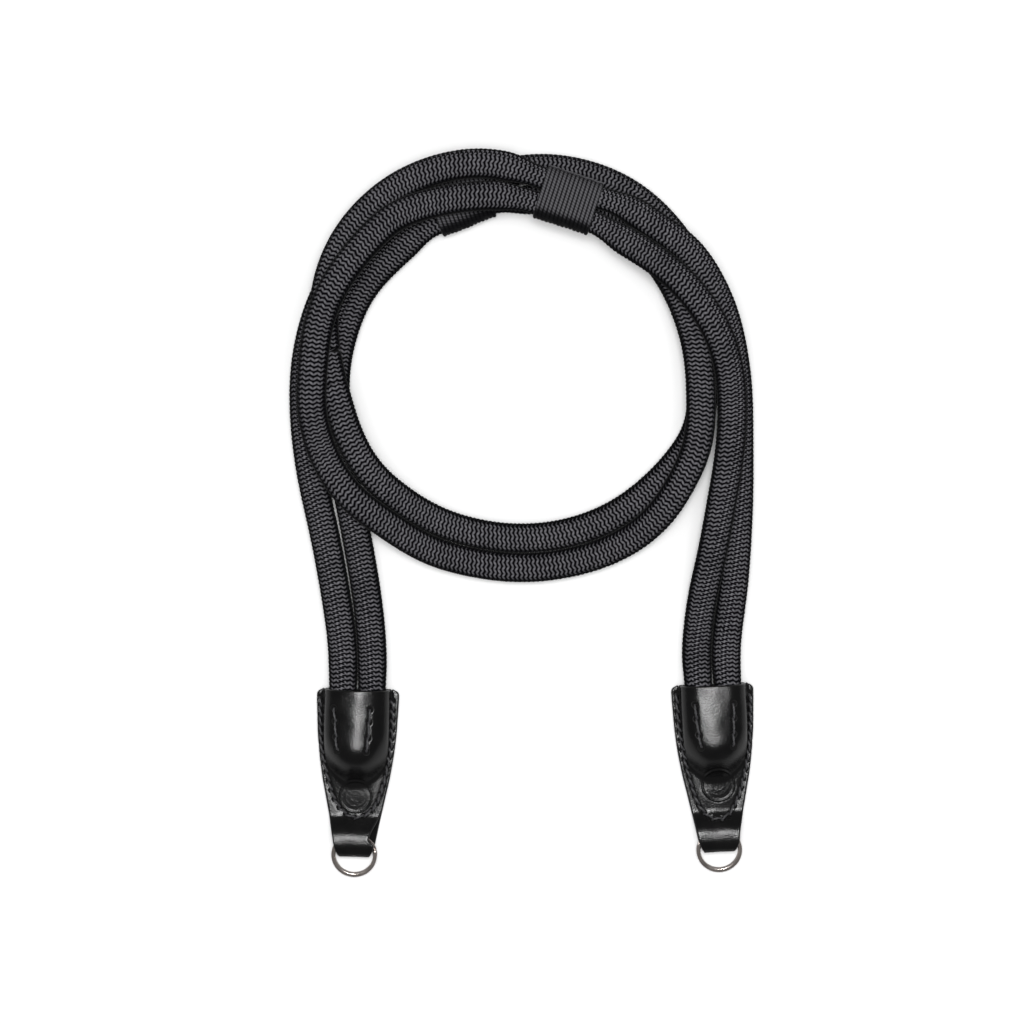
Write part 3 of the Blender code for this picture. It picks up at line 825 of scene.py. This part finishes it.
def strip_rows():
    """Each row's distance from the mouth and height of the outer face, and how many the upper leaf has."""
    upper = list(MOUTH_ROWS)
    while upper[-1] < TAB_LENGTH - FOLD_TOP_LENGTH - 0.0004:
        upper.append(upper[-1] + np.interp(upper[-1], ROW_SPACING[:, 0], ROW_SPACING[:, 1]))
    heights = FLANGE_TOP + (NECK_TOP - FLANGE_TOP) * np.interp(upper, NECK_RISE[:, 0], NECK_RISE[:, 1])
    over_rows, wall_rows, under_rows, lower_rows = FOLD_ROWS
    turn = np.radians(np.linspace(90, 0, over_rows))
    over = (
        TAB_LENGTH - FOLD_TOP_LENGTH * (1 - np.cos(turn)),
        NECK_TOP - FOLD_TOP_HEIGHT * (1 - np.sin(turn)),
    )
    wall = np.linspace(NECK_TOP - FOLD_TOP_HEIGHT, FOLD_RADIUS, wall_rows)[1:-1]
    turn = np.radians(np.linspace(0, 90, under_rows))
    under = TAB_LENGTH - FOLD_RADIUS * (1 - np.cos(turn)), FOLD_RADIUS * (1 - np.sin(turn))
    lower = np.linspace(TAB_LENGTH - FOLD_RADIUS, LOWER_LEAF_START, lower_rows)[1:]
    lower = np.concatenate([lower, MOUTH_ROWS[::-1]])
    along = np.concatenate([upper, over[0], np.full(len(wall), TAB_LENGTH), under[0], lower])
    return along, np.concatenate([heights, over[1], wall, under[1], np.zeros(len(lower))]), len(upper)


def half_width(along):
    """The tab's half width at this distance from the mouth, less the rounded edge."""
    share = np.interp(along / TAB_LENGTH, TAB_OUTLINE[:, 0], TAB_OUTLINE[:, 1])
    return NECK_HALF_WIDTH + (TAB_HALF_WIDTH - NECK_HALF_WIDTH) * share - EDGE_ROUNDING


def mouth_corner(along):
    """How far the mouth's rounded corners pull the edge in."""
    left = np.clip(MOUTH_CORNER - along, 0.0, MOUTH_CORNER)
    return MOUTH_CORNER - np.sqrt(MOUTH_CORNER**2 - left**2)


def bulge_share(along, across):
    """The share of the bulge's full height this far from the mouth: it ends sooner towards its sides."""
    sooner = BULGE_END_ROUNDING * (np.abs(across) / BULGE_END_HALF_WIDTH) ** 2.5
    past = np.clip((along + sooner - BULGE_FADE_START) / BULGE_FADE_LENGTH, 0.0, 1.0)
    return (1 - past ** BULGE_FADE[0]) ** BULGE_FADE[1]


def upper_section(along, top, left, right, crown):
    """Evenly spaced points across the upper leaf: its flanges and the bulge over both ropes."""
    angles = np.radians(np.arange(0, 91, 6))
    foot, hollow = BULGE_FOOT
    inner = ROPE_PITCH / 2 * np.array((0.75, 0.5, 0.25, 0.0))
    across = np.concatenate([[foot[0], hollow[0]], ROPE_PITCH / 2 + BULGE_RADIUS * np.cos(angles), inner])
    arc = ROPE_IN_TAB_HEIGHT + BULGE_RADIUS * np.sin(angles)
    height = np.concatenate([[foot[1], hollow[1]], arc, [arc[-1]] * len(inner)])
    crown = crown + BULGE_CLIMB * min(along / POCKET_DEPTH, 1.0)
    height = height + crown * np.clip(1 - (across / CROWN_HALF_WIDTH) ** 2, 0, 1) ** 2
    height = top + (height - FLANGE_TOP) * bulge_share(along, across)
    across = across * (1 - BULGE_NARROWING * (1 - bulge_share(along, 0.0)))
    whole_across = np.concatenate([[right], across, -across[-2::-1], [-left]])
    whole_height = np.concatenate([[top], height, height[-2::-1], [top]])
    # Towards the neck the leaf is narrower than the bulge's foot, which is flat there
    if right < across[0]:
        whole_across = np.concatenate([np.minimum(whole_across[:-1], right), [-left]])
    if left < across[0]:
        whole_across = np.maximum(whole_across, -left)
    line = np.stack([whole_across, whole_height], axis=1)[::-1]
    spacing = run_lengths(line)[-1] / (SECTION_PLACES - 1)
    return evenly(smoothed(evenly(line, SECTION_PLACES), max(1.0, SECTION_BLUR / spacing)), TAB_COLUMNS)


def seam_swell(across, along):
    """The leaf stands a little proud inside the seam between the bulge and the neck."""
    wide = np.interp(along, SWELL_HALF_WIDTH[:, 0], SWELL_HALF_WIDTH[:, 1])
    run = eased((along - SWELL_ALONG[0]) / SWELL_EASE[0]) * eased((SWELL_ALONG[1] - along) / SWELL_EASE[1])
    return SWELL_HEIGHT * run * np.clip(1 - (across / wide) ** 2, 0, 1) ** 1.5


def tab_grid(side):
    """The strip's outer face as rows of points, without relief, and how many rows the upper leaf has."""
    along, height, count_upper = strip_rows()
    grid = np.zeros((len(along), TAB_COLUMNS, 3))
    inset = NECK_INSET[side]
    for row, at, top in zip(grid, along, height):
        half = half_width(at)
        row[:, 0], row[:, 2] = np.linspace(-half, half, TAB_COLUMNS), top
    for row, at, top in zip(grid[:count_upper], along, height):
        half = half_width(at)
        right = half - np.interp(at, inset[:, 0], inset[:, 1])
        row[:, ::2] = upper_section(at, top, half, right, BULGE_CROWN[side])
    grid[:, :, 1] = along[:, None]
    grid[:, :, 0] = smoothed(grid[:, :, 0], WIDTH_BLUR)
    upper = grid[:count_upper]
    upper[:, :, 2] = smoothed(upper[:, :, 2] + seam_swell(upper[:, :, 0], upper[:, :, 1]), HEIGHT_BLUR)
    reach = TAB_HALF_WIDTH - EDGE_ROUNDING - CORNER_START
    weight = np.clip((np.abs(grid[:, :, 0]) - CORNER_START) / reach, 0, 1)
    grid[:, :, 0] -= np.sign(grid[:, :, 0]) * weight * mouth_corner(along)[:, None]
    return grid, count_upper


def grid_normals(grid):
    """Directions out of a grid of points."""
    return unit(np.cross(np.gradient(grid, axis=1), np.gradient(grid, axis=0)))


def line_points(points, count):
    """Evenly spaced places on a smooth line through points given in mm."""
    return evenly(smoothed(evenly(np.array(points) * MM, SEAM_PLACES), SEAM_BLUR), count)


def seams(side):
    """Each of a tab's seams as its channel's places and its holes: round the flange, then on the pocket."""
    along_edge, along_pocket = CHANNEL_PLACES
    edge = EDGE_SEAM[side]
    found = [(line_points(edge, along_edge), line_points(edge, EDGE_STITCHES[side]))]
    return found + [(line_points(seam, along_pocket), np.array(seam) * MM) for seam in POCKET_SEAMS[side]]


def distance_to_line(places, line):
    """The distance from each place to a line's nearest point."""
    best = np.full(places.shape[:-1], np.inf)
    for point in line:
        best = np.minimum(best, np.sum((places - point) ** 2, axis=-1))
    return np.sqrt(best)


def sunk_holes(places, holes, radius, depth):
    """How deep the leather is drawn in round stitch holes."""
    sunk = np.zeros(places.shape[:-1])
    for hole in holes:
        far = np.linalg.norm(places - hole, axis=-1) / radius
        sunk = np.maximum(sunk, depth * np.clip(1 - far**2, 0, 1) ** HOLE_ROUNDNESS)
    return sunk


def roundel_relief(places, middle):
    """A plain pressed roundel: a raised rim and two fine rings in a shallow dish."""
    far = np.linalg.norm(places - np.array(middle), axis=-1)
    relief = -ROUNDEL_DISH * (1 - eased((far - ROUNDEL_RADIUS) / ROUNDEL_EDGE + 0.5))
    for radius, height, width in ROUNDEL_RINGS:
        relief += height * ridge(far - radius, width)
    return relief


def upper_detail(side, places):
    """The upper leaf's relief at these places: stitch channels, holes and the roundel."""
    relief = roundel_relief(places, ROUNDEL_MIDDLE[side])
    for (line, holes), (channel, *hole) in zip(seams(side), (EDGE_RELIEF, POCKET_RELIEF, POCKET_RELIEF)):
        relief -= channel * ridge(distance_to_line(places, line), CHANNEL_WIDTH)
        relief -= sunk_holes(places, holes, *hole)
    return relief


def back_detail(side, places):
    """The lower leaf's relief: channels that take the thread, and its holes."""
    relief = np.zeros(places.shape[:-1])
    channel, *hole = BACK_RELIEF
    for line, holes in seams(side):
        relief = np.minimum(relief, -channel * ridge(distance_to_line(places, line), CHANNEL_WIDTH))
        relief = np.minimum(relief, -sunk_holes(places, holes, *hole))
    return relief


def inside_holes(side, places):
    """How far inside a stitch hole each place is, from 0 at its rim to 1 in its middle."""
    radii = (EDGE_INSIDE, POCKET_INSIDE, POCKET_INSIDE)
    inside = [sunk_holes(places, holes, radius, 1.0) for (_, holes), radius in zip(seams(side), radii)]
    return np.max(inside, axis=0)


def unevenness(side, places):
    """Slow swells of the leather, up to a tenth of a millimetre high."""
    across, along, start = places[..., 0], places[..., 1], UNEVEN_START[side]
    height, wide, long = UNEVEN_LONG
    bend = UNEVEN_BEND[0] * np.sin(along / UNEVEN_BEND[1])
    swell = height * np.sin(across / wide + bend + start) * np.sin(along / long + start * 2)
    height, wide, long = UNEVEN_SHORT
    return swell + height * np.sin(across / wide + start) * np.sin(along / long)


def perimeter(rows, columns):
    """The grid's outer points in order: row, column, and the outward steps along the rows and the columns."""
    first = [(0, c, -1, (c == columns - 1) - (c == 0)) for c in range(columns)]
    right = [(r, columns - 1, 0, 1) for r in range(1, rows - 1)]
    last = [(rows - 1, c, 1, (c == columns - 1) - (c == 0)) for c in range(columns - 1, -1, -1)]
    left = [(r, 0, 0, -1) for r in range(rows - 2, 0, -1)]
    return np.array(first + right + last + left).T


def leaf_mesh(name, side, plain, outer, upper_rows):
    """A closed strip: the outer face, the inner face one leaf's thickness below, and rounded edges."""
    rows, columns, _ = plain.shape
    inner = plain - grid_normals(plain) * LEAF
    along, across = unit(np.gradient(plain, axis=0)), unit(np.gradient(plain, axis=1))
    at_row, at_column, row_step, column_step = perimeter(rows, columns)
    outward = along[at_row, at_column] * row_step[:, None] + across[at_row, at_column] * column_step[:, None]
    outward = EDGE_ROUNDING * unit(outward)
    upper_rim, lower_rim = outer[at_row, at_column], inner[at_row, at_column]
    middle = (upper_rim + lower_rim) / 2
    points = [outer.reshape(-1, 3), inner.reshape(-1, 3)]
    for angle in np.radians(EDGE_ANGLES):
        points.append(middle + (upper_rim - middle) * math.sin(angle) + outward * math.cos(angle))
    corner = np.arange(rows * columns).reshape(rows, columns)
    quads = [corner[:-1, :-1], corner[:-1, 1:], corner[1:, 1:], corner[1:, :-1]]
    quads = np.stack(quads, axis=-1).reshape(-1, 4)
    faces = quads.tolist() + (quads + rows * columns)[:, ::-1].tolist()
    around = len(at_row)
    rim = corner[at_row, at_column]
    edge_points = 2 * rows * columns + np.arange(len(EDGE_ANGLES) * around).reshape(-1, around)
    loops = [rim, *edge_points, rim + rows * columns]
    for near, far in zip(loops, loops[1:]):
        faces += np.stack([np.roll(near, -1), near, far, np.roll(far, -1)], axis=-1).tolist()
    piece = skin(name, tab_to_world(side, np.concatenate(points)).tolist(), faces)
    # Leather outside, the flesh side inside and paint on the edges
    material_index = np.repeat((0, 2, 1), (len(quads), len(quads), len(faces) - 2 * len(quads)))
    piece.data.polygons.foreach_set("material_index", material_index)
    inside = np.zeros(len(piece.data.vertices))
    inside[: upper_rows * columns] = inside_holes(side, plain[:upper_rows, :, :2]).ravel()
    mark(piece, "inside_hole", inside)
    return piece


# Thread: two plies twisted together, in short stitches that dive into their holes

THREAD_RADIUS = 0.00036
THREAD_PLY = 0.26
THREAD_TWIST = 0.0016
THREAD_SIDES = 10
STITCH_SECTIONS = 15
STITCH_DIVE = 3.2
EDGE_STITCH_SLANT = 0.00035
POCKET_STITCH_SLANT = EDGE_STITCH_SLANT / 2
STITCH_PROUD = 0.00008
STITCH_SUNK = 0.0007
BACK_STITCH_DEPTH = 0.00045


def thread(path, up):
    """Points and faces of one twisted thread along a path."""
    ahead = unit(np.gradient(path, axis=0))
    side = unit(np.cross(ahead, up))
    over = np.cross(side, ahead)
    turn = 2 * np.pi * np.arange(THREAD_SIDES) / THREAD_SIDES
    wave = np.cos(2 * turn[None, :] - 2 * np.pi * run_lengths(path)[:, None] / THREAD_TWIST)
    radius = THREAD_RADIUS * (1 + THREAD_PLY * wave)
    out = side[:, None] * np.cos(turn)[None, :, None] + over[:, None] * np.sin(turn)[None, :, None]
    points = path[:, None] + radius[..., None] * out
    return points.reshape(-1, 3), tube_faces(len(path), THREAD_SIDES)


def surface_places(grid, normals, places):
    """Points of a face and its outward directions at (across, from the mouth) places."""
    rows_at = grid[:, 0, 1]
    order = np.argsort(rows_at)
    found, directions = [], []
    for across, along in places:
        position = np.interp(along, rows_at[order], np.arange(len(order)))
        low = order[int(position)]
        high = order[min(int(position) + 1, len(order) - 1)]
        share = position - int(position)
        for values, into in ((grid, found), (normals, directions)):
            near = read_off(values[low], grid[low, :, 0], across)
            far = read_off(values[high], grid[high, :, 0], across)
            into.append((1 - share) * near + share * far)
    return np.array(found), np.array(directions)


def stitch(face, start, end, slant, proud):
    """One stitch over a (grid, normals) face from hole to hole, slanting a little across its seam."""
    heading = (end - start) / np.linalg.norm(end - start)
    share = np.linspace(0.0, 1.0, STITCH_SECTIONS)[:, None]
    places = start + (end - start) * share + np.array((-heading[1], heading[0])) * slant * (1 - 2 * share)
    on_face, out = surface_places(*face, places)
    lift = proud - (STITCH_SUNK + proud) * np.abs(2 * share - 1) ** STITCH_DIVE
    return thread(on_face + out * lift, out)


def tab_stitches(side, plain, count_upper):
    """The thread of all seams, on the upper leaf and on the back, as one piece."""
    points, faces, count = [], [], 0
    for leaf, proud in ((plain[:count_upper], STITCH_PROUD), (plain[-LOWER_LEAF_ROWS:], -BACK_STITCH_DEPTH)):
        face = leaf, grid_normals(leaf)
        slants = (EDGE_STITCH_SLANT, POCKET_STITCH_SLANT, POCKET_STITCH_SLANT)
        for (_, holes), slant in zip(seams(side), slants):
            for start, end in zip(holes, holes[1:]):
                part_points, part_faces = stitch(face, start, end, slant, proud)
                points.append(part_points)
                faces += [tuple(v + count for v in part) for part in part_faces]
                count += len(part_points)
    return skin(side + "_tab_stitches", tab_to_world(side, np.concatenate(points)).tolist(), faces)


def leather_tab(side):
    """One tab and its stitches."""
    plain, count_upper = tab_grid(side)
    places = plain[..., :2]
    lower = len(plain) - LOWER_LEAF_ROWS
    relief = unevenness(side, places)
    relief[:count_upper] += upper_detail(side, places[:count_upper])
    relief[lower:] = back_detail(side, places[lower:])
    outer = plain + grid_normals(plain) * relief[..., None]
    tab = leaf_mesh("folded_" + side + "_tab", side, plain, outer, count_upper)
    return tab, tab_stitches(side, plain, count_upper)


# Split rings: two flat turns of rounded wire with a jog between them

RING_RADIUS = 0.00815
RING_WIRE_WIDTH = 0.0014
RING_WIRE_HEIGHT = 0.0010
RING_TURN_GAP = 0.0001
RING_WIRE_ROUNDING = 0.00032
# The jog's length, where it lies and the ring's tilt, in degrees
RING_JOG = 40.0
RING_JOG_AT = {"left": 35.0, "right": 145.0}
RING_TILT = 10.639
RING_PLACE = 0.0589
RING_HEIGHT = 0.0025366
RING_TURN_SIDES = 144
# The wire's two ends are filed round over this length, down to this share of its section
RING_END = 0.0005
RING_END_SHARE = 0.5


def wire_section():
    """Corners of the wire's rounded section, as (outwards, up)."""
    points = []
    half = np.array((RING_WIRE_WIDTH, RING_WIRE_HEIGHT)) / 2 - RING_WIRE_ROUNDING
    for k, quarter in enumerate(((1, 1), (-1, 1), (-1, -1), (1, -1))):
        for angle in np.radians(90 * k + np.array((0, 22.5, 45, 67.5, 90))):
            points.append(quarter * half + RING_WIRE_ROUNDING * np.array((math.cos(angle), math.sin(angle))))
    return np.array(points)


def split_ring(side):
    """The ring in its tilted place in the tab's fold."""
    section = wire_section()
    jog = RING_JOG / 360
    turns = np.linspace(jog / 2, 2 - jog / 2, round(RING_TURN_SIDES * (2 - jog)) + 1)
    step = smooth_step(turns, 1 - jog / 2, 1 + jog / 2)
    level = (RING_WIRE_HEIGHT + RING_TURN_GAP) / 2 * (2 * step - 1)
    to_end = np.minimum(turns - turns[0], turns[-1] - turns) * 2 * math.pi * RING_RADIUS
    full = np.sqrt(1 - np.clip(1 - to_end / RING_END, 0, 1) ** 2)
    slim = RING_END_SHARE + (1 - RING_END_SHARE) * full[:, None]
    angle = math.radians(RING_JOG_AT[side]) + 2 * math.pi * turns[:, None]
    out = RING_RADIUS - RING_WIRE_WIDTH / 2 + section[:, 0] * slim
    up = level[:, None] + section[:, 1] * slim
    along = out * np.sin(angle)
    cos, sin = math.cos(math.radians(RING_TILT)), math.sin(math.radians(RING_TILT))
    from_mouth, height = RING_PLACE - along * cos + up * sin, RING_HEIGHT + along * sin + up * cos
    local = np.stack((out * np.cos(angle), from_mouth, height), axis=-1)
    points = tab_to_world(side, local).reshape(-1, 3)
    return skin("polished_" + side + "_ring", points.tolist(), tube_faces(len(turns), len(section)))


webbing = shade_painted_fabric("webbing", 0.6, KEEPER_PAINTED_SHADES, Specular_IOR_Level=0.04, Sheen_Weight=0.05)
for cad_node, middle in KEEPERS.items():
    dress(woven_keeper("woven_" + cad_node, middle), "strap", "keeper", cad_node, webbing)

leather, steel = leather_material(), steel_material()
edge_paint = speckled(
    "edge_paint", 0.28, size=0.0015, detail=3.0, bump=(0.00006, 0.5), Specular_IOR_Level=0.5,
    shades=((0.35, (0.003, 0.003, 0.003)), (0.7, (0.008, 0.0075, 0.0075))),
)
flesh_side = speckled(
    "leather_inside", 0.8, size=0.001, detail=4.0, bump=(0.0001, 0.8), Specular_IOR_Level=0.1,
    shades=((0.3, 0.002), (0.7, 0.006)),
)
waxed_thread = speckled(
    "waxed_thread", 0.42, size=0.0004, detail=3.0, bump=(0.00003, 0.6), Specular_IOR_Level=0.4,
    shades=((0.3, (0.020, 0.020, 0.022)), (0.7, (0.070, 0.069, 0.073))),
)
for side in TABS:
    tab, stitches = leather_tab(side)
    dress(tab, "strap", "leather", side + "_tab", leather, edge_paint, flesh_side)
    dress(stitches, "strap", "rope", None, waxed_thread)
    dress(split_ring(side), side + "_ring", "ring", side + "_split_ring", steel)


# Floor and light

FLOOR_HALF = 3.0
FLOOR_HEIGHT = -0.0001
FLOOR_SHADE = (0.86, 0.86, 0.86, 1.0)
KEY_PLACE = (0.0, 0.058, 1.05)
KEY_SIZE = (0.22, 0.35)
KEY_POWER = 6.6
FILL_PLACE = (0.0, 0.0, 1.2)
FILL_SIZE = (0.9, 0.9)
FILL_POWER = 7.2
# How bright the sky is below and above the horizon, for the light that it gives and in reflections
SKY_BELOW, SKY_ABOVE = 0.10, 0.35
GLOSS_BELOW, GLOSS_ABOVE = 0.40, 0.13
HORIZON = 0.1


def plain_floor():
    """A pale floor just under the strap that gives no light back."""
    corners = [(x * FLOOR_HALF, y * FLOOR_HALF, 0.0) for x, y in ((-1, -1), (1, -1), (1, 1), (-1, 1))]
    mesh = bpy.data.meshes.new("floor")
    mesh.from_pydata(corners, [], [(0, 1, 2, 3)])
    made = linked("floor", mesh)
    made.location.z = FLOOR_HEIGHT
    made.visible_diffuse = made.visible_glossy = False
    mesh.materials.append(surface("pale_floor", 0.9, Base_Color=FLOOR_SHADE, Specular_IOR_Level=0.1)[0])
    return made


def soft_light(name, place, size, power, in_gloss=True):
    """A soft box that points down at the strap."""
    light = bpy.data.lights.new(name, "AREA")
    light.shape = "RECTANGLE"
    light.size, light.size_y = size
    light.energy = power
    made = linked(name, light)
    made.location = place
    made.visible_glossy = in_gloss


def studio_sky():
    """A white dome over a darker ground for soft shadows, and a dim even room in reflections."""
    world = bpy.data.worlds.new("studio")
    world.use_nodes = True
    tree = world.node_tree
    for_light = tree.nodes["Background"]
    in_gloss, seen = (tree.nodes.new("ShaderNodeBackground") for _ in range(2))
    upwards = tree.nodes.new("ShaderNodeSeparateXYZ")
    tree.links.new(tree.nodes.new("ShaderNodeTexCoord").outputs["Generated"], upwards.inputs[0])
    for background, below, above in ((for_light, SKY_BELOW, SKY_ABOVE), (in_gloss, GLOSS_BELOW, GLOSS_ABOVE)):
        level = tree.nodes.new("ShaderNodeMapRange")
        limits = {"From Min": -HORIZON, "From Max": HORIZON, "To Min": below, "To Max": above}
        for key, value in limits.items():
            level.inputs[key].default_value = value
        tree.links.new(upwards.outputs["Z"], level.inputs["Value"])
        tree.links.new(level.outputs["Result"], background.inputs["Strength"])
    for background in (for_light, in_gloss, seen):
        background.inputs["Color"].default_value = (1.0, 1.0, 1.0, 1.0)
    rays = tree.nodes.new("ShaderNodeLightPath")
    shader = for_light
    for ray, background in (("Is Glossy Ray", in_gloss), ("Is Camera Ray", seen)):
        mixed = tree.nodes.new("ShaderNodeMixShader")
        for output, socket in ((rays.outputs[ray], 0), (shader.outputs[0], 1), (background.outputs[0], 2)):
            tree.links.new(output, mixed.inputs[socket])
        shader = mixed
    tree.links.new(shader.outputs[0], tree.nodes["World Output"].inputs["Surface"])
    return world


plain_floor()
soft_light("key", KEY_PLACE, KEY_SIZE, KEY_POWER)
soft_light("fill", FILL_PLACE, FILL_SIZE, FILL_POWER, in_gloss=False)
scene.world = studio_sky()
scene.view_settings.view_transform = "Standard"
